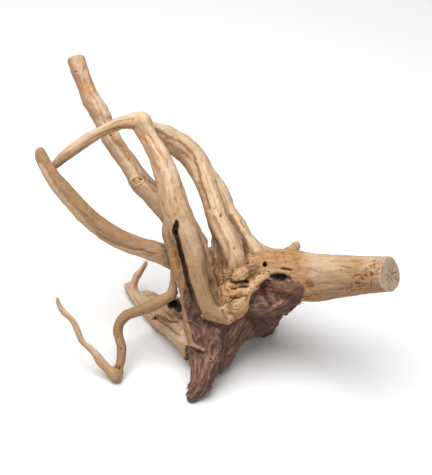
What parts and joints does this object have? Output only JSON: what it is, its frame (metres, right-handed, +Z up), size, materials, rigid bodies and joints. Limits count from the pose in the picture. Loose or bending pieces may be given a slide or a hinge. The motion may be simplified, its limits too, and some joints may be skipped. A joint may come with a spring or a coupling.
{
  "type": "aquarium driftwood",
  "caption": "Branching root of driftwood: a sawn stock, a knotty crown and a dark foot, with arched, forked and hooked branches, to stand in an aquarium.",
  "frame": {"origin": "middle of the footprint of the whole piece, on the surface that it stands on", "axes": "+Z up as it stands; +X across the picture, toward the sawn stock; +Y away from the picture's viewer"},
  "size_m": [0.3549, 0.2459, 0.2669],
  "materials": {
    "tan_wood": "dry barkless wood, tan with orange-brown grain streaks",
    "grey_tan_wood": "dry barkless wood, greyer and smoother",
    "golden_burl_wood": "gnarled golden-brown root crown",
    "dark_root_wood": "dark purple-brown stained fibrous root"
  },
  "bodies": {
    "root": {"trunk": "grey_tan_wood", "crown": "golden_burl_wood", "dark_root": "dark_root_wood", "front_arch": "tan_wood", "arch_tip": "tan_wood", "back_arch": "tan_wood", "tall_branch": "tan_wood", "left_branch": "grey_tan_wood", "low_root": "tan_wood", "hooked_twig": "tan_wood", "twig_tip": "tan_wood"}
  },
  "joints": []
}
